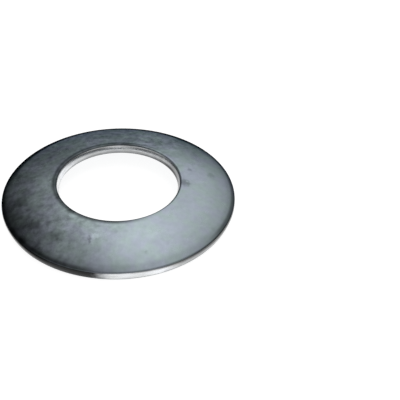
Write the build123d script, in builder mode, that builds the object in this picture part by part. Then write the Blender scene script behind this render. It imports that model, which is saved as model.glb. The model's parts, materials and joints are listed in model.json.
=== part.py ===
"""A coned spring washer, also called a disc spring, lying with its rim down and its bore raised.

It is one piece of hardened spring steel. Its section is a strip with rounded edges, laid at
the slope of the cone and turned about the axis of the bore. Squeezed flat it pushes back, so
it is put under a bolt head, or stacked on a guide rod as a short stiff spring.

Frame: millimetres, +Z up. The origin is on the axis, in the plane that the rim rests on.
"""

import os
from math import cos, radians, sin

from build123d import *

# Driving sizes in millimetres, with the slope in degrees
outer_diameter = 50.0      # across the straight land on the rim
bore_diameter = 25.4       # across the straight land in the bore, over a 25 mm guide rod
thickness = 2.25           # of the blank, square to its two faces
cone_angle = 17.8          # slope of the faces once the blank is pressed into a cone
edge_radius = 0.6          # tumbled round on the four edges of the section
land_depth = 0.05          # skimmed off the bore and the rim, which leaves a narrow straight land

# The section before the lands are turned: a flat strip with rounded edges, tilted by the slope
slope = radians(cone_angle)
outer_radius = outer_diameter / 2
bore_radius = bore_diameter / 2
blank_reach = (outer_radius + land_depth) - (bore_radius - land_depth)
core_thickness = thickness - 2 * edge_radius
core_width = (blank_reach - 2 * edge_radius - core_thickness * sin(slope)) / cos(slope)
blank_width = core_width + 2 * edge_radius
middle_radius = (outer_radius + bore_radius) / 2
free_height = core_width * sin(slope) + core_thickness * cos(slope) + 2 * edge_radius

# The coned washer, its section revolved once about the axis
with BuildPart() as spring_washer:
    with BuildSketch(Plane.XZ) as section:
        with Locations((middle_radius, free_height / 2)):
            Rectangle(blank_width, thickness, rotation=-cone_angle)
        fillet(section.vertices(), edge_radius)
        # The two straight lands: only what lies between the bore and rim sizes is kept
        with Locations((middle_radius, free_height / 2)):
            Rectangle(outer_radius - bore_radius, 2 * free_height, mode=Mode.INTERSECT)
    revolve(axis=Axis.Z)

spring_washer.part.label = "spring_washer"

# One STEP file for the one piece
os.makedirs("parts", exist_ok=True)
export_step(spring_washer.part, "parts/spring_washer.step")

# What was made, for the builder's log
bounds = spring_washer.part.bounding_box()
lands = spring_washer.faces().filter_by(GeomType.CYLINDER)
print(f"spring_washer: {bounds.size.X:.3f} x {bounds.size.Y:.3f} x {bounds.size.Z:.3f} mm")
print(f"lowest point {bounds.min.Z:.4f} mm, free height {free_height:.3f} mm")
print(f"volume {spring_washer.part.volume:.1f} mm3, {len(spring_washer.faces())} faces")
for land in lands:
    box = land.bounding_box()
    print(f"land at radius {box.max.X:.3f} mm, from {box.min.Z:.3f} to {box.max.Z:.3f} mm up")
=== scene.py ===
# %% [markdown]
# # A coned spring washer
# This lesson dresses one pressed steel part for its portrait. The washer is a flat steel ring
# that a press has pushed into a shallow cone, so that it springs back when a bolt squeezes it.
# There is only one piece, so everything rests on three things: a true section with soft edges,
# a dull steel that is cloudy rather than flat grey, and a light that shows both.
#
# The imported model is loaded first. It is the frame that fixes every size and place.

# %% Load the frame
import json
from math import cos, pi, radians, sin

import bpy
from mathutils import Matrix, Vector


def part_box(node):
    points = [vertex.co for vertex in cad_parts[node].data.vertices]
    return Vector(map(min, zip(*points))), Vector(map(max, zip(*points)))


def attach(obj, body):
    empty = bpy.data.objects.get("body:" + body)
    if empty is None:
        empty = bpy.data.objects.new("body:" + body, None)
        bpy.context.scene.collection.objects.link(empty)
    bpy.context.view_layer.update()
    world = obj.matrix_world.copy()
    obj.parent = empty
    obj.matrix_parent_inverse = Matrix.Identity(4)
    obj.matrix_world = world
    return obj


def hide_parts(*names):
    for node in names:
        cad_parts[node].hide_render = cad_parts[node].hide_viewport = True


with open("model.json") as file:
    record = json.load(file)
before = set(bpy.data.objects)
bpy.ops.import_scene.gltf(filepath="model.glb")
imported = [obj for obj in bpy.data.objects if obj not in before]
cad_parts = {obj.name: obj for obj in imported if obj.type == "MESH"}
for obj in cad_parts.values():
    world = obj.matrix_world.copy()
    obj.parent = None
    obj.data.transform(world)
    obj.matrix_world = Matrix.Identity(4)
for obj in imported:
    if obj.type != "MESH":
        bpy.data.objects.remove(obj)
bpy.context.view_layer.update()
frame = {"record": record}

mm = 0.001      # the scene is in metres

highest_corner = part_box("spring_washer")[1]
rim_radius = highest_corner.x
free_height = highest_corner.z
bore_mount = next(m for m in frame["record"]["mounts"] if m["name"] == "bore")
bore_radius = bore_mount["dims"]["r_mm"] * mm
print(f"rim radius {rim_radius / mm:.2f} mm, bore radius {bore_radius / mm:.2f} mm")

# %% [markdown]
# ## The camera
# The camera comes before the shapes, because each later step is judged through it. It stands
# about four washer widths away and looks down at the table by 39 degrees, which turns the round
# rim into the ellipse of the photograph. It aims a little to the right of the washer, so the
# washer sits left of the middle, and it is rolled by two degrees. Turning the camera is better
# than shifting its lens here, because other views then keep a plain centred lens.

# %% Camera
camera_distance = 0.200
camera_elevation = radians(38.93)
camera_turn_right = radians(5.02)
camera_tip_down = radians(0.13)
camera_roll = radians(2.31)
camera_lens = 82.6
sensor_width = 36.0
camera_near = 0.01
camera_far = 20.0

camera_data = bpy.data.cameras.new("camera")
camera_data.lens = camera_lens
camera_data.sensor_width = sensor_width
camera_data.clip_start = camera_near
camera_data.clip_end = camera_far
camera = bpy.data.objects.new("camera", camera_data)
bpy.context.scene.collection.objects.link(camera)
stand = Vector((0, -cos(camera_elevation), sin(camera_elevation))) * camera_distance
camera.matrix_world = (
    Matrix.Translation(stand)
    @ Matrix.Rotation(pi / 2 - camera_elevation, 4, "X")
    @ Matrix.Rotation(-camera_turn_right, 4, "Y")
    @ Matrix.Rotation(-camera_tip_down, 4, "X")
    @ Matrix.Rotation(-camera_roll, 4, "Z")
)
bpy.context.scene.camera = camera
print(f"camera at {tuple(round(v / mm) for v in stand)} mm")

# %% [markdown]
# ## The section of the washer
# The real washer starts as a flat ring, is pressed into a cone, and is then tumbled until its
# edges are round. It could be made here in the same order, with a ring that is bent. Turning a
# section about the axis is surer: every size is set in one small flat drawing, and all the faces
# come out as even four-sided strips.
#
# The drawing is a strip standing in the XZ plane, long from the bore to the rim and as thick as
# the steel. It is subdivided along its length, so that the next step can bend it a little.

# %% The flat strip
steel_thickness = 2.25 * mm
cone_slope = radians(17.8)
edge_round = 0.6 * mm
skim_depth = 0.05 * mm
strip_columns = 16
near_enough = 0.01 * mm     # how close a point lies to the place that it is picked by

core_thickness = steel_thickness - 2 * edge_round
core_length = (
    rim_radius - bore_radius + 2 * skim_depth - 2 * edge_round - core_thickness * sin(cone_slope)
) / cos(cone_slope)
strip_length = core_length + 2 * edge_round


def select_only(mesh, wanted):
    """In edit mode, leaves only those vertices selected for which wanted(position) is true."""
    bpy.ops.mesh.select_all(action="DESELECT")
    bpy.ops.object.mode_set(mode="OBJECT")
    for vertex in mesh.vertices:
        vertex.select = wanted(vertex.co)
    bpy.ops.object.mode_set(mode="EDIT")


bpy.ops.object.select_all(action="DESELECT")
bpy.ops.mesh.primitive_grid_add(
    x_subdivisions=strip_columns, y_subdivisions=1, size=1, rotation=(pi / 2, 0, 0)
)
washer = bpy.context.object
washer.name = "dressed_spring_washer"
washer.scale = (strip_length, steel_thickness, 1)
bpy.ops.object.transform_apply(location=True, rotation=True, scale=True)
print(f"strip {strip_length / mm:.2f} mm long, {len(washer.data.vertices)} points")

# %% [markdown]
# ## A slight crown
# A press that pushes steel into a cone never leaves it quite straight from bore to rim: the
# strip bows outwards by a few tenths of a millimetre. It is far too little to see in the
# outline, but a shiny face shows it at once, because the slope then grows towards the rim and
# the light rolls off there. Each column of points is lifted by its share of the bow.

# %% Bow the strip
face_crown = 0.34 * mm
bpy.ops.object.mode_set(mode="EDIT")
for column in range(1, strip_columns):
    along = (column / strip_columns - 0.5) * 2
    column_x = along * strip_length / 2
    select_only(washer.data, lambda co: abs(co.x - column_x) < near_enough)
    bpy.ops.transform.translate(value=(0, 0, face_crown * (1 - along * along)))
print(f"crown {face_crown / mm:.2f} mm in the middle of the strip")

# %% [markdown]
# ## Rounded edges
# Tumbling in a drum of stones rounds the four edges. In the drawing these are four corners, and
# a vertex bevel cuts each with an arc. The strip is made one single face first, so that the
# bevel has plain corners to work on.

# %% Round the four corners
round_segments = 8
round_profile = 0.5     # a circular arc
bpy.ops.mesh.select_all(action="SELECT")
bpy.ops.mesh.dissolve_faces()
select_only(washer.data, lambda co: abs(co.x) > strip_length / 2 - near_enough)
bpy.ops.mesh.bevel(
    offset=edge_round, segments=round_segments, profile=round_profile, affect="VERTICES",
    clamp_overlap=False,
)
bpy.ops.object.mode_set(mode="OBJECT")
print(f"{len(washer.data.vertices)} points round the section")

# %% [markdown]
# ## Tilt, set down and skim
# The strip is tilted to the slope of the cone and set down so that its lowest point touches the
# table. The bore and rim of the real part are then skimmed true, which leaves a narrow straight
# land on each. Bisect does the same here: it cuts the section at the two radii of the frame.

# %% Tilt, set down and skim
bpy.ops.object.mode_set(mode="EDIT")
bpy.ops.mesh.select_all(action="SELECT")
bpy.ops.transform.rotate(value=-cone_slope, orient_axis="Y", center_override=(0, 0, 0))
bpy.ops.object.mode_set(mode="OBJECT")
points = [vertex.co for vertex in washer.data.vertices]
strip_left = min(co.x for co in points)
strip_right = max(co.x for co in points)
strip_bottom = min(co.z for co in points)
to_place = ((bore_radius + rim_radius) / 2 - (strip_left + strip_right) / 2, 0, -strip_bottom)

finest = 0.001 * mm
bpy.ops.object.mode_set(mode="EDIT")
bpy.ops.mesh.select_all(action="SELECT")
bpy.ops.transform.translate(value=to_place)
bpy.ops.mesh.bisect(
    plane_co=(rim_radius, 0, 0), plane_no=(1, 0, 0), clear_outer=True, threshold=finest
)
bpy.ops.mesh.select_all(action="SELECT")
bpy.ops.mesh.bisect(
    plane_co=(bore_radius, 0, 0), plane_no=(1, 0, 0), clear_inner=True, threshold=finest
)
bpy.ops.mesh.select_all(action="SELECT")
bpy.ops.mesh.delete(type="ONLY_FACE")
bpy.ops.object.mode_set(mode="OBJECT")
section_top = max(vertex.co.z for vertex in washer.data.vertices)
print(f"section {section_top / mm:.3f} mm high, the frame says {free_height / mm:.3f} mm")

# %% [markdown]
# ## Turn the section into the washer
# Spin carries the outline once round the axis. The first and last copies lie on each other, so
# the doubles are merged, and only then can Blender tell the inside from the outside and turn
# all the faces outwards.

# %% Turn the section
turn_steps = 480
bpy.ops.object.mode_set(mode="EDIT")
bpy.ops.mesh.select_all(action="SELECT")
bpy.ops.mesh.spin(steps=turn_steps, angle=2 * pi, center=(0, 0, 0), axis=(0, 0, 1))
bpy.ops.mesh.select_all(action="SELECT")
bpy.ops.mesh.remove_doubles(threshold=finest)
bpy.ops.mesh.normals_make_consistent(inside=False)
bpy.ops.object.mode_set(mode="OBJECT")
print(f"{len(washer.data.vertices)} points, {len(washer.data.polygons)} faces")

# %% [markdown]
# ## A face that is not quite true
# Pressed, hardened and tumbled steel is never optically flat. Its faces wander in and out by
# about a hundredth of a millimetre over a few millimetres, which is enough to make the light on
# them uneven. A Displace modifier with a cloud texture does this in real geometry. It only
# pushes inwards, and it fades out towards the edges, so the seats and the lands keep the sizes
# of the frame.

# %% Let the faces wander
wander_depth = 0.012 * mm
wander_size = 5.5 * mm
wander_fade = 2.5 * mm
crisp_angle = radians(20)

faces_group = washer.vertex_groups.new(name="faces")
for vertex in washer.data.vertices:
    radius = vertex.co.xy.length
    edge_distance = min(radius - bore_radius, rim_radius - radius)
    weight = min(max((edge_distance - edge_round) / wander_fade, 0), 1)
    faces_group.add([vertex.index], weight, "REPLACE")

clouds = bpy.data.textures.new("wandering_face", "CLOUDS")
clouds.noise_scale = wander_size
clouds.noise_depth = 1
wander = washer.modifiers.new("wander", "DISPLACE")
wander.texture = clouds
wander.texture_coords = "LOCAL"
wander.vertex_group = faces_group.name
wander.strength = wander_depth
wander.mid_level = 1
bpy.ops.object.modifier_apply(modifier=wander.name)
washer.vertex_groups.clear()
bpy.ops.object.shade_smooth_by_angle(angle=crisp_angle)
print(f"faces wander by up to {wander_depth / mm:.3f} mm")

# %% [markdown]
# ## Small helpers for materials
# Each material is a tree of nodes. A few helpers keep the cells short: they add a node and set
# its values, plug one socket into another, start a node group or place one, and multiply two
# numbers. The coordinates are the object's own, in metres, so a patch of five millimetres is
# written as five millimetres.
#
# Sockets are picked by name where they have one of their own, and else by number. A Map Range
# node takes the range it reads in its inputs 1 and 2, and the range it gives in 3 and 4.

# %% Node helpers
def add_node(tree, kind, label, inputs=None, **settings):
    """Adds a shader node of a kind, with its settings and the values of its free inputs."""
    node = tree.nodes.new("ShaderNode" + kind)
    node.label = label
    for name, value in settings.items():
        setattr(node, name, value)
    for socket, value in (inputs or {}).items():
        node.inputs[socket].default_value = value
    return node


def link(tree, source, target):
    """Plugs an output socket into an input socket."""
    tree.links.new(source, target)


def start_group(name, inputs, outputs):
    """Starts a node group: inputs are (name, kind, value), outputs are (name, kind)."""
    tree = bpy.data.node_groups.new(name, "ShaderNodeTree")
    for socket_name, kind, value in inputs:
        socket = tree.interface.new_socket(
            socket_name, in_out="INPUT", socket_type="NodeSocket" + kind
        )
        if value is not None:
            socket.default_value = value
    for socket_name, kind in outputs:
        tree.interface.new_socket(socket_name, in_out="OUTPUT", socket_type="NodeSocket" + kind)
    return tree, tree.nodes.new("NodeGroupInput"), tree.nodes.new("NodeGroupOutput")


def add_group(tree, group, position, **values):
    """Places a node group in a material, fed with the position and its own values."""
    node = tree.nodes.new("ShaderNodeGroup")
    node.node_tree = group
    link(tree, position, node.inputs["Position"])
    for name, value in values.items():
        node.inputs[name.replace("_", " ").title()].default_value = value
    return node


def multiply(tree, first, second, label):
    """Multiplies two numbers, each a socket or a plain value, and gives the output socket."""
    node = add_node(tree, "Math", label, operation="MULTIPLY")
    for socket, value in zip(node.inputs, (first, second)):
        if isinstance(value, (int, float)):
            socket.default_value = value
        else:
            link(tree, value, socket)
    return node.outputs[0]


# %% [markdown]
# ## Noise of a known size and strength
# Everything uneven on this steel comes from noise: its clouds, its dents, the frayed outline of
# a stain. Blender's own scale runs the wrong way for this, as more makes it finer, so a helper
# takes the size of a feature in metres instead.
#
# Nearly all of Blender's noise lies between 0.3 and 0.7. The swing helper stretches that to a
# swing from -1 to 1, so that a depth of 0.2 really means a fifth lighter or darker.

# %% Noise helpers
noise_low, noise_high = 0.3, 0.7
shift_way = (1, 0.7, 1.3)       # a shift moves the noise along all three axes


def noise_of_size(tree, position, size, label, detail=2.0, roughness=0.5, shift=0.0):
    """Adds noise with features of a size in metres, and gives its output from 0 to 1.

    The shift, in metres, takes another stretch of the noise, so that no two layers are alike.
    """
    moved = add_node(tree, "VectorMath", label + " shift", operation="ADD")
    moved.inputs[1].default_value = [shift * way for way in shift_way]
    link(tree, position, moved.inputs[0])
    noise = add_node(tree, "TexNoise", label, {"Detail": detail, "Roughness": roughness})
    link(tree, moved.outputs[0], noise.inputs["Vector"])
    if isinstance(size, (int, float)):
        noise.inputs["Scale"].default_value = 1 / size
    else:
        scale = add_node(tree, "Math", label + " scale", {0: 1.0}, operation="DIVIDE")
        link(tree, size, scale.inputs[1])
        link(tree, scale.outputs[0], noise.inputs["Scale"])
    return noise.outputs[0]


def swing(tree, noise, label):
    """Stretches noise to a swing from -1 to 1."""
    spread = add_node(tree, "MapRange", label, {1: noise_low, 2: noise_high, 3: -1.0, 4: 1.0})
    link(tree, noise, spread.inputs[0])
    return spread.outputs[0]


def centred(tree, noise, depth, label):
    """Turns noise into a factor about 1, which swings by the depth each way."""
    scaled = multiply(tree, swing(tree, noise, label), depth, label + " depth")
    about_one = add_node(tree, "Math", label + " about one", {1: 1.0}, operation="ADD")
    link(tree, scaled, about_one.inputs[0])
    return about_one.outputs[0]


print(f"noise from {noise_low} to {noise_high} swings from -1 to 1")

# %% [markdown]
# ## Clouds of oxide
# Heat treatment leaves a thin uneven skin on spring steel, and tumbling takes it off unevenly
# again. What stays is a cloudy grey: wide patches, some bluish and some a little green, with
# soft mottling of about a millimetre inside them, a fine grain, and a few darker flecks. One side
# of this washer has been rubbed calmer than the other, so the group also takes a direction, and
# fades the clouds towards it. Painting an image would freeze all this to one part. Noise gives
# the same look on any size, and a group lets both finishes use it, each with its own strength.

# %% Group: clouded oxide
oxide, given, result = start_group(
    "clouded_oxide",
    [("Position", "Vector", None), ("Patch Size", "Float", 6 * mm), ("Depth", "Float", 0.2),
     ("Fleck Depth", "Float", 0.2), ("Calm Side", "Vector", (0.82, -0.57, 0)),
     ("Calm Share", "Float", 0.2)],
    [("Shade", "Float"), ("Blue", "Float")],
)
calm_from, calm_to = -4 * mm, 14 * mm       # along the calm side, from the axis
mottle_size, grain_size = 1.2 * mm, 0.5 * mm
fleck_size, hue_size = 1.6 * mm, 3 * mm
patch_share, grain_share = 0.7, 0.18        # of the depth, which the mottle has in full
fleck_from, fleck_to = 0.64, 0.76           # only the highest noise makes a fleck
hue_from, hue_to = 0.38, 0.62

where = given.outputs["Position"]
sideways = add_node(oxide, "VectorMath", "towards the calm side", operation="DOT_PRODUCT")
link(oxide, where, sideways.inputs[0])
link(oxide, given.outputs["Calm Side"], sideways.inputs[1])
calming = add_node(
    oxide, "MapRange", "cloud strength here", {1: calm_from, 2: calm_to, 3: 1.0},
    interpolation_type="SMOOTHSTEP",
)
link(oxide, sideways.outputs["Value"], calming.inputs[0])
link(oxide, given.outputs["Calm Share"], calming.inputs[4])
depth_here = multiply(oxide, given.outputs["Depth"], calming.outputs[0], "depth here")

patches = noise_of_size(oxide, where, given.outputs["Patch Size"], "patches", detail=2)
mottle = noise_of_size(oxide, where, mottle_size, "mottle", detail=3, roughness=0.55, shift=0.3)
grain = noise_of_size(oxide, where, grain_size, "grain", detail=1, shift=0.6)
patch_depth = multiply(oxide, depth_here, patch_share, "patch depth")
grain_depth = multiply(oxide, depth_here, grain_share, "grain depth")
shade = multiply(
    oxide,
    centred(oxide, patches, patch_depth, "patch shade"),
    multiply(
        oxide,
        centred(oxide, mottle, depth_here, "mottle shade"),
        centred(oxide, grain, grain_depth, "grain shade"),
        "mottle and grain",
    ),
    "clouds",
)
flecks = noise_of_size(oxide, where, fleck_size, "flecks", detail=1, roughness=0.4, shift=0.9)
fleck_mask = add_node(
    oxide, "MapRange", "flecks stand out", {1: fleck_from, 2: fleck_to, 3: 0.0, 4: 1.0}
)
link(oxide, flecks, fleck_mask.inputs[0])
fleck_depth = multiply(oxide, given.outputs["Fleck Depth"], calming.outputs[0], "fleck depth")
darkening = multiply(oxide, fleck_mask.outputs[0], fleck_depth, "fleck shade")
keep = add_node(oxide, "Math", "light left by a fleck", {0: 1.0}, operation="SUBTRACT")
link(oxide, darkening, keep.inputs[1])
link(oxide, multiply(oxide, shade, keep.outputs[0], "clouds and flecks"), result.inputs["Shade"])

hue = noise_of_size(oxide, where, hue_size, "hue", detail=2, shift=1.7)
hue_spread = add_node(oxide, "MapRange", "hue spread", {1: hue_from, 2: hue_to, 3: 0.0, 4: 1.0})
link(oxide, hue, hue_spread.inputs[0])
link(oxide, hue_spread.outputs[0], result.inputs["Blue"])
print(f"{oxide.name}: {len(oxide.nodes)} nodes")

# %% [markdown]
# ## The tumbled surface
# Under the oxide the surface itself is matt from the tumbling stones: thousands of tiny dents
# that overlap. Some places are rubbed a little smoother than others. This group gives a height
# for a Bump node and a small change of roughness, and again both finishes use it.

# %% Group: tumbled surface
tumbled, given, result = start_group(
    "tumbled_surface",
    [("Position", "Vector", None), ("Dent Size", "Float", 1.2 * mm), ("Roughness", "Float", 0.3),
     ("Uneven", "Float", 0.05)],
    [("Height", "Float"), ("Roughness", "Float")],
)
scuff_size, rub_size = 0.35 * mm, 3 * mm
scuff_share = 0.3       # of the height of the dents

where = given.outputs["Position"]
dents = noise_of_size(tumbled, where, given.outputs["Dent Size"], "dents", detail=2, shift=2.1)
scuffs = noise_of_size(tumbled, where, scuff_size, "scuffs", detail=2, shift=2.6)
fine = multiply(tumbled, scuffs, scuff_share, "scuff height")
height = add_node(tumbled, "Math", "dents and scuffs", operation="ADD")
link(tumbled, dents, height.inputs[0])
link(tumbled, fine, height.inputs[1])
link(tumbled, height.outputs[0], result.inputs["Height"])

rub = noise_of_size(tumbled, where, rub_size, "rubbed places", detail=3, shift=3.2)
rub_swing = swing(tumbled, rub, "rub swing")
rub_amount = multiply(tumbled, rub_swing, given.outputs["Uneven"], "rub amount")
rubbed = add_node(tumbled, "Math", "roughness here", operation="ADD")
link(tumbled, rub_amount, rubbed.inputs[0])
link(tumbled, given.outputs["Roughness"], rubbed.inputs[1])
link(tumbled, rubbed.outputs[0], result.inputs["Roughness"])
print(f"{tumbled.name}: {len(tumbled.nodes)} nodes")

# %% [markdown]
# ## Stains and painted shade
# The washer carries single marks that are not part of the general mottling: a smudge by the bore, a
# few small spots, and stretches of painted shade along the rim and its walls. Each is the same
# group with its own centre, reach and softness. Noise frays the outline, so that no mark is a clean
# disc, and a squash of less than one along an axis draws the mark out that way.

# %% Group: stain
stain, given, result = start_group(
    "stain",
    [("Position", "Vector", None), ("Centre", "Vector", (0, 0, 0)), ("Squash", "Vector", (1, 1, 1)),
     ("Reach", "Float", 2 * mm), ("Fade", "Float", 1 * mm), ("Fray", "Float", 0.5 * mm)],
    [("Mask", "Float")],
)
fray_coarseness = 2.0       # how wide a fray is along the outline, for its depth

offset = add_node(stain, "VectorMath", "from the centre", operation="SUBTRACT")
link(stain, given.outputs["Position"], offset.inputs[0])
link(stain, given.outputs["Centre"], offset.inputs[1])
squashed = add_node(stain, "VectorMath", "squashed", operation="MULTIPLY")
link(stain, offset.outputs[0], squashed.inputs[0])
link(stain, given.outputs["Squash"], squashed.inputs[1])
away = add_node(stain, "VectorMath", "how far away", operation="LENGTH")
link(stain, squashed.outputs[0], away.inputs[0])
fray_size = multiply(stain, given.outputs["Fray"], fray_coarseness, "fray size")
fray_noise = noise_of_size(stain, given.outputs["Position"], fray_size, "fray", shift=4.4)
frayed = add_node(stain, "Math", "frayed distance", operation="MULTIPLY_ADD")
link(stain, swing(stain, fray_noise, "fray swing"), frayed.inputs[0])
link(stain, given.outputs["Fray"], frayed.inputs[1])
link(stain, away.outputs["Value"], frayed.inputs[2])
outer = add_node(stain, "Math", "outer limit", operation="ADD")
link(stain, given.outputs["Reach"], outer.inputs[0])
link(stain, given.outputs["Fade"], outer.inputs[1])
mask = add_node(stain, "MapRange", "mask", {3: 1.0, 4: 0.0}, interpolation_type="SMOOTHSTEP")
link(stain, frayed.outputs[0], mask.inputs[0])
link(stain, given.outputs["Reach"], mask.inputs[1])
link(stain, outer.outputs[0], mask.inputs[2])
link(stain, mask.outputs[0], result.inputs["Mask"])
print(f"{stain.name}: {len(stain.nodes)} nodes")

# %% [markdown]
# ## Dark edges, painted shade
# A thin dark line of painted shade runs round the bore and round the rim, where the rounded edges
# would mirror the dark room. It is painted fainter on one side of each, where those edges mirror
# the white table instead. The group measures how far a point is from the axis, darkens what lies
# near the edge, and weighs that by how much the point looks to the bright side.

# %% Group: painted edge shade
edge_band, given, result = start_group(
    "edge_band",
    [("Position", "Vector", None), ("Start", "Float", 23.2 * mm), ("Full", "Float", 24.1 * mm),
     ("Bright Side", "Vector", (1, 0, 0)), ("Bright From", "Float", 0.0), ("Bright Full", "Float", 1.0),
     ("Bright Share", "Float", 1.0)],
    [("Mask", "Float")],
)
flat = add_node(edge_band, "VectorMath", "drop the height", {1: (1, 1, 0)}, operation="MULTIPLY")
link(edge_band, given.outputs["Position"], flat.inputs[0])
from_axis = add_node(edge_band, "VectorMath", "distance from the axis", operation="LENGTH")
link(edge_band, flat.outputs[0], from_axis.inputs[0])
band = add_node(
    edge_band, "MapRange", "band at the edge", {3: 0.0, 4: 1.0}, interpolation_type="SMOOTHSTEP"
)
link(edge_band, from_axis.outputs["Value"], band.inputs[0])
link(edge_band, given.outputs["Start"], band.inputs[1])
link(edge_band, given.outputs["Full"], band.inputs[2])

outward = add_node(edge_band, "VectorMath", "way out from the axis", operation="NORMALIZE")
link(edge_band, flat.outputs[0], outward.inputs[0])
facing = add_node(edge_band, "VectorMath", "towards the bright side", operation="DOT_PRODUCT")
link(edge_band, outward.outputs[0], facing.inputs[0])
link(edge_band, given.outputs["Bright Side"], facing.inputs[1])
weight = add_node(
    edge_band, "MapRange", "strength on this side", {3: 1.0}, interpolation_type="SMOOTHSTEP"
)
link(edge_band, facing.outputs["Value"], weight.inputs[0])
link(edge_band, given.outputs["Bright From"], weight.inputs[1])
link(edge_band, given.outputs["Bright Full"], weight.inputs[2])
link(edge_band, given.outputs["Bright Share"], weight.inputs[4])
sided = multiply(edge_band, band.outputs[0], weight.outputs[0], "sided band")
link(edge_band, sided, result.inputs["Mask"])
print(f"{edge_band.name}: {len(edge_band.nodes)} nodes")

# %% [markdown]
# ## Helpers for the two finishes
# Both finishes are bare metal and are built the same way. Two greys are mixed and multiplied by
# a shade. The shade starts as the clouds, and every band and mark multiplies it by what it
# leaves of it. One list with a loop is easier to judge and mend than a tree full of nodes.

# %% Finish helpers
def start_metal(name, **constants):
    """Starts a metallic material, and gives its tree, its shader and the position socket."""
    material = bpy.data.materials.new(name)
    material.use_nodes = True
    tree = material.node_tree
    shader = tree.nodes["Principled BSDF"]
    shader.inputs["Metallic"].default_value = 1.0
    for socket, value in constants.items():
        shader.inputs[socket.replace("_", " ")].default_value = value
    position = add_node(tree, "TexCoord", "the washer's own coordinates").outputs["Object"]
    return material, tree, shader, position


def add_bump(tree, shader, height, distance):
    """Feeds a height from 0 to 1 into the shader's normal, as a relief of a depth in metres."""
    bump = add_node(tree, "Bump", "relief", {"Strength": 1.0, "Distance": distance})
    link(tree, height, bump.inputs["Height"])
    link(tree, bump.outputs["Normal"], shader.inputs["Normal"])


def shaded_colour(tree, green_grey, blue_grey, blue, shade):
    """Mixes two greys by the blue mask, darkens them by the shade, and gives the colour."""
    mix = add_node(
        tree, "Mix", "greenish or bluish", {6: green_grey, 7: blue_grey}, data_type="RGBA"
    )
    link(tree, blue, mix.inputs[0])
    scale = add_node(tree, "VectorMath", "times the shade", operation="SCALE")
    link(tree, mix.outputs[2], scale.inputs[0])
    link(tree, shade, scale.inputs["Scale"])
    return scale.outputs[0]


def masked(tree, shade, mask, leaves, label):
    """Multiplies a shade by what a mask leaves of it where the mask is full."""
    left = add_node(tree, "MapRange", label, {3: 1.0, 4: leaves})
    link(tree, mask, left.inputs[0])
    return multiply(tree, shade, left.outputs[0], label + " on the shade")


def add_marks(tree, position, shade, marks):
    """Adds the listed marks, real stains and painted shade alike (name, centre in mm, reach, fade,
    fray, what it leaves, squash).
    """
    for name, centre, reach, fade, fray, leaves, *squash in marks:
        mark = add_group(
            tree, stain, position, centre=Vector(centre) * mm, reach=reach * mm, fade=fade * mm,
            fray=fray * mm, squash=squash[0] if squash else (1, 1, 1),
        )
        mark.label = name
        shade = masked(tree, shade, mark.outputs["Mask"], leaves, name)
    return shade


# %% [markdown]
# ## Finish one: dull tumbled steel on the faces
# The two cone faces and the edge rounds are the dull finish. The colour is a mix of a greenish
# and a bluish grey, times the clouds. The metal is fully metallic, and its specular tint is
# turned down, because a real oxide skin does not flare to white at a grazing look.
#
# Over the clouds lie the dark lines of the edges, which are painted shade, and then the marks,
# which are listed one by one: first the broad stretches of painted shade on the left, then
# blotches, then the few small spots. A mark that leaves more than one makes the steel lighter.

# %% Material: tumbled face steel
face_marks = [
    # the first two marks are painted shade on the left of the cone, where it turns from the light;
    # the rest are blotches, spots and a smudge
    ("painted shade on the left", (-76, -36, 3), 56.5, 11.3, 1.2, 0.10),
    ("painted shade at the front-left rim", (-24, -26, 2), 11.0, 3.0, 0.8, 0.85),
    ("left blotch", (-17.4, -11.3, 3.7), 0.9, 1.3, 1.1, 0.72),
    ("far left blotch", (-20.7, -3.0, 3.7), 0.8, 2.0, 1.2, 0.72),
    ("low left blotch", (-12.9, -15.1, 4.0), 0.9, 1.3, 1.1, 0.78),
    ("blotch at the bore", (-10.0, -9.5, 5.7), 0.4, 1.0, 0.5, 0.6),
    ("front notch", (-6.2, -17.1, 4.4), 0.1, 0.45, 0.2, 0.6, (1, 0.4, 1)),
    ("bright spot by it", (-5.1, -16.6, 4.8), 0.4, 0.6, 0.2, 1.25),
    ("smudge at the bore", (14.0, -1.5, 5.6), 0.5, 1.1, 0.4, 0.6),
    ("speck in it", (14.7, -1.0, 5.5), 0.1, 0.3, 0.1, 1.5),
    ("back right spot", (15.5, 3.5, 5.2), 0.2, 0.6, 0.2, 0.75),
    ("right spot", (20.1, 2.9, 3.9), 0.4, 0.9, 0.3, 0.8),
    ("front spot", (4.9, -20.6, 3.6), 0.1, 0.45, 0.2, 0.82),
]
# each band with what it leaves; all four are painted shade, and the last is a wide faint darkening
# towards the rim
face_bands = [
    ("rim edge", 0.36, dict(
        start=23.8 * mm, full=24.5 * mm,
        bright_side=(0.31, -0.95, 0), bright_from=0.74, bright_full=0.95, bright_share=0.0,
    )),
    ("back of the rim", 0.2, dict(
        start=22.8 * mm, full=23.9 * mm,
        bright_side=(0.2, -0.98, 0), bright_from=-0.8, bright_full=-0.1, bright_share=0.2,
    )),
    ("bore edge", 0.2, dict(
        start=14.5 * mm, full=13.6 * mm,
        bright_side=(0.99, -0.14, 0), bright_from=0.0, bright_full=0.7, bright_share=0.08,
    )),
    ("painted shade towards the rim", 0.75, dict(start=17 * mm, full=26 * mm)),
]
face_greenish, face_bluish = (0.263, 0.318, 0.325, 1), (0.276, 0.308, 0.358, 1)
face_flare = (0.24, 0.26, 0.28, 1)
relief_depth = 0.006 * mm

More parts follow.
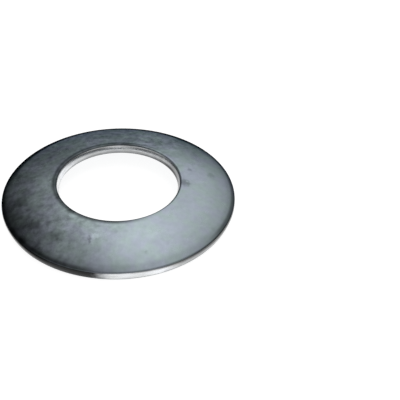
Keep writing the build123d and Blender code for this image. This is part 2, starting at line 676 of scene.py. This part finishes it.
face_steel, tree, shader, position = start_metal("tumbled_face_steel", Specular_Tint=face_flare)
face_clouds = add_group(tree, oxide, position, patch_size=6 * mm, depth=0.26, fleck_depth=0.28)
face_tumble = add_group(tree, tumbled, position, dent_size=1.2 * mm, roughness=0.3, uneven=0.04)
face_shade = face_clouds.outputs["Shade"]
for name, leaves, settings in face_bands:
    band = add_group(tree, edge_band, position, **settings)
    face_shade = masked(tree, face_shade, band.outputs["Mask"], leaves, name)
face_shade = add_marks(tree, position, face_shade, face_marks)
face_colour = shaded_colour(
    tree, face_greenish, face_bluish, face_clouds.outputs["Blue"], face_shade
)
link(tree, face_colour, shader.inputs["Base Color"])
link(tree, face_tumble.outputs["Roughness"], shader.inputs["Roughness"])
add_bump(tree, shader, face_tumble.outputs["Height"], relief_depth)
print(f"{face_steel.name}: {len(face_bands)} bands, {len(face_marks)} marks")

# %% [markdown]
# ## Finish two: bright skimmed steel in the bore and on the rim
# Where the bore and the rim were cut, the steel is clean and far brighter, and it mirrors the white
# table. The tool left fine lines that run round the wall: noise that is stretched along the wall
# and fine in height. The finish uses the same groups at a lower strength. Stretches of the wall are
# darkened by painted shade and painted reflection, where the wall would mirror the dark room or the
# washer's shadow on the table, and a squashed mark is a thin line along it.

# %% Material: skimmed wall steel
wall_marks = [
    # all these marks are painted shade and painted reflection: they darken the mirror-bright walls
    # where they would show the dark room or the washer's shadow on the table
    ("dark front-left wall", (-12.9, -21.4, 1.6), 7.2, 4.8, 0.8, 0.03),
    ("dark left wall", (-22.0, -11.9, 2.6), 1.0, 0.5, 0.1, 0.05, (0.11, 0.11, 1)),
    ("grey left wall", (-19.7, -15.4, 1.6), 4.0, 5.0, 0.8, 0.3),
    ("grey front wall", (0, -25.0, 1.6), 3.0, 4.0, 1.0, 0.8),
    ("shaded top in front", (-2.5, -24.9, 2.7), 0.5, 0.5, 0.05, 0.5, (0.15, 0.15, 1)),
    ("grey front-right wall", (19.8, -15.0, 1.6), 8.5, 8.0, 1.0, 0.45),
    ("shaded top of it", (20.3, -14.6, 2.4), 0.75, 0.6, 0.05, 0.35, (0.05, 0.05, 1)),
    ("grey back wall", (0, 25.0, 1.6), 16.0, 10.0, 2.0, 0.6),
    ("grey bore wall", (12.6, 1.0, 4.0), 4.0, 9.0, 1.0, 0.36),
    ("painted shade at the foot of the bore", (9.0, 9.0, 3.6), 0.7, 0.4, 0.05, 0.55, (0.04, 0.04, 1)),
    ("painted shade on the land", (10.4, 7.3, 3.6), 0.3, 0.3, 0.05, 0.35, (0.04, 0.04, 1)),
    ("painted shade at the foot of it", (12.7, 1.0, 4.2), 0.3, 0.3, 0.05, 0.4, (0.06, 0.06, 1)),
]
line_stretch = 0.04
line_size = 0.12 * mm
line_depth = 0.16
wall_greenish, wall_bluish = (0.90, 0.92, 0.92, 1), (0.90, 0.92, 0.95, 1)
wall_flare = (0.9, 0.9, 0.9, 1)

wall_steel, tree, shader, position = start_metal("skimmed_wall_steel", Specular_Tint=wall_flare)
wall_clouds = add_group(tree, oxide, position, patch_size=3 * mm, depth=0.06, fleck_depth=0.1)
wall_tumble = add_group(tree, tumbled, position, dent_size=0.9 * mm, roughness=0.2, uneven=0.04)
drawn_out = add_node(
    tree, "VectorMath", "drawn out round the wall", {1: (line_stretch, line_stretch, 1)},
    operation="MULTIPLY",
)
link(tree, position, drawn_out.inputs[0])
tool_lines = noise_of_size(tree, drawn_out.outputs[0], line_size, "tool lines", detail=1)
line_shade = centred(tree, tool_lines, line_depth, "line shade")
wall_shade = multiply(tree, wall_clouds.outputs["Shade"], line_shade, "clouds and lines")
wall_shade = add_marks(tree, position, wall_shade, wall_marks)
wall_colour = shaded_colour(
    tree, wall_greenish, wall_bluish, wall_clouds.outputs["Blue"], wall_shade
)
link(tree, wall_colour, shader.inputs["Base Color"])
link(tree, wall_tumble.outputs["Roughness"], shader.inputs["Roughness"])
add_bump(tree, shader, wall_tumble.outputs["Height"], relief_depth)
print(f"{wall_steel.name}: {len(wall_marks)} marks")

# %% [markdown]
# ## Dress the washer
# A face of the mesh belongs to a wall when it looks sideways rather than up or down, and to the
# cone otherwise. The change falls on the edge rounds. The washer then takes the place of the
# plain CAD node and rides on its body.

# %% Give out the finishes
# how much of a wall's normal lies level, and how far down it may look
rim_lean, rim_droop = 0.82, -0.32
bore_lean, bore_droop = 0.76, -0.03
middle_radius = (bore_radius + rim_radius) / 2

washer.data.materials.append(face_steel)
washer.data.materials.append(wall_steel)
for polygon in washer.data.polygons:
    on_rim = polygon.center.xy.length > middle_radius
    lean, droop = (rim_lean, rim_droop) if on_rim else (bore_lean, bore_droop)
    is_wall = polygon.normal.xy.length > lean and polygon.normal.z > droop
    polygon.material_index = 1 if is_wall else 0
walls = sum(polygon.material_index for polygon in washer.data.polygons)
print(f"{walls} of {len(washer.data.polygons)} faces are skimmed walls")

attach(washer, "root")
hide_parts("spring_washer")

# %% [markdown]
# ## The table
# The washer lies on a plain pale table. The table should come out white, and more light on the
# washer would be the wrong way to get there. So the table adds some light of its own, but only
# for rays that come from the camera, bounce off something shiny or pass through glass. The
# light that it throws on dull things stays plain, and the shadow stays in it. From below the
# table lets the camera through, so that the underside can be looked at.

# %% The table
table_side = 8.0
table_albedo = 0.3
table_lift = 0.88

bpy.ops.object.select_all(action="DESELECT")
bpy.ops.mesh.primitive_plane_add(size=table_side)
table = bpy.context.object
table.name = "table"
table_paint = bpy.data.materials.new("pale_table")
table_paint.use_nodes = True
tree = table_paint.node_tree
tree.nodes.clear()
rays = add_node(tree, "LightPath", "which ray asks")
seen = add_node(tree, "Math", "camera or shiny", operation="MAXIMUM")
link(tree, rays.outputs["Is Camera Ray"], seen.inputs[0])
link(tree, rays.outputs["Is Glossy Ray"], seen.inputs[1])
seen_or_through = add_node(tree, "Math", "or through glass", operation="MAXIMUM")
link(tree, seen.outputs[0], seen_or_through.inputs[0])
link(tree, rays.outputs["Is Transmission Ray"], seen_or_through.inputs[1])
lift = multiply(tree, seen_or_through.outputs[0], table_lift, "how much is added")
paint = add_node(tree, "BsdfDiffuse", "paint", {"Color": (table_albedo,) * 3 + (1,)})
glow = add_node(tree, "Emission", "added light", {"Color": (1, 1, 1, 1)})
link(tree, lift, glow.inputs["Strength"])
both = add_node(tree, "AddShader", "paint and added light")
link(tree, paint.outputs[0], both.inputs[0])
link(tree, glow.outputs[0], both.inputs[1])
side = add_node(tree, "NewGeometry", "which side")
clear = add_node(tree, "BsdfTransparent", "clear from below")
one_sided = add_node(tree, "MixShader", "one-sided")
link(tree, side.outputs["Backfacing"], one_sided.inputs[0])
link(tree, both.outputs[0], one_sided.inputs[1])
link(tree, clear.outputs[0], one_sided.inputs[2])
surface = add_node(tree, "OutputMaterial", "surface")
link(tree, one_sided.outputs[0], surface.inputs["Surface"])
table.data.materials.append(table_paint)
print(f"table {table_side:.0f} m wide, {table_lift} of light added")

# %% [markdown]
# ## The room
# Metal shows its room more than its own colour, so the light is designed as what the washer
# sees. The room is nearly dark, and all its light comes from soft panels. Area lamps would do,
# but their edges show in shiny steel, so the panels are painted into the world instead. The
# world starts as an even dim level, and every panel is added to it.

# %% The room
room_dark = 0.02
room = bpy.data.worlds.new("studio")
bpy.context.scene.world = room
room.use_nodes = True
tree = room.node_tree
looking = add_node(tree, "TexCoord", "direction").outputs["Generated"]
room_light = add_node(tree, "Value", "dark room").outputs[0]
room_light.default_value = room_dark
print(f"room at {room_dark}")

# %% [markdown]
# ## The soft panels
# The closer a ray looks to a panel's direction, the more light it meets. The panels at the back
# and on the right join into one tall bank, which lights the front and the right of the cone and
# leaves its left side dark. Those in front and on the left show to this camera only in the walls
# and the rounded edges, but they light the washer for a look from any other side. The camera
# itself sees plain white in the world, so that low views have the same white ground.

# %% The soft panels
panel_softness = 14      # at this value a panel fades to a third of its light 22 degrees out
panels = [
    # elevation, azimuth and brightness at the middle
    (74, 72, 0.90),
    (74, 0, 1.32),
    (56, 100, 0.60),
    (38, 90, 0.64),
    (38, 60, 0.40),
    (38, 30, 0.82),
    (20, 77, 0.68),
    (12, 52, 0.40),
    (52, -90, 0.35),
    (26, -90, 0.60),
    (8, -90, 0.65),
    (34, -140, 0.90),
    (34, -40, 0.80),
    (30, 180, 0.65),
    (2, 138, 0.15),
]
for elevation, azimuth, brightness in panels:
    level = cos(radians(elevation))
    towards = (
        level * cos(radians(azimuth)), level * sin(radians(azimuth)), sin(radians(elevation))
    )
    name = f"panel {elevation} up, {azimuth} round"
    nearness = add_node(tree, "VectorMath", name, {1: towards}, operation="DOT_PRODUCT")
    link(tree, looking, nearness.inputs[0])
    fall = add_node(
        tree, "Math", "fall-off", {1: panel_softness, 2: -panel_softness}, operation="MULTIPLY_ADD"
    )
    link(tree, nearness.outputs["Value"], fall.inputs[0])
    glow = add_node(tree, "Math", "soft patch", operation="EXPONENT")
    link(tree, fall.outputs[0], glow.inputs[0])
    add = add_node(tree, "Math", "add the panel", {1: brightness}, operation="MULTIPLY_ADD")
    link(tree, glow.outputs[0], add.inputs[0])
    link(tree, room_light, add.inputs[2])
    room_light = add.outputs[0]
rays = add_node(tree, "LightPath", "which ray asks")
shown = add_node(tree, "Mix", "white for the camera", {3: 1.0})
link(tree, rays.outputs["Is Camera Ray"], shown.inputs[0])
link(tree, room_light, shown.inputs[2])
background = tree.nodes["Background"]
background.inputs["Color"].default_value = (1, 1, 1, 1)
link(tree, shown.outputs[0], background.inputs["Strength"])
print(f"{len(panels)} soft panels")

# %% [markdown]
# ## Colour
# The view transform is Standard, so that a colour is shown as it was written.

# %% Colour
bpy.context.scene.view_settings.view_transform = "Standard"
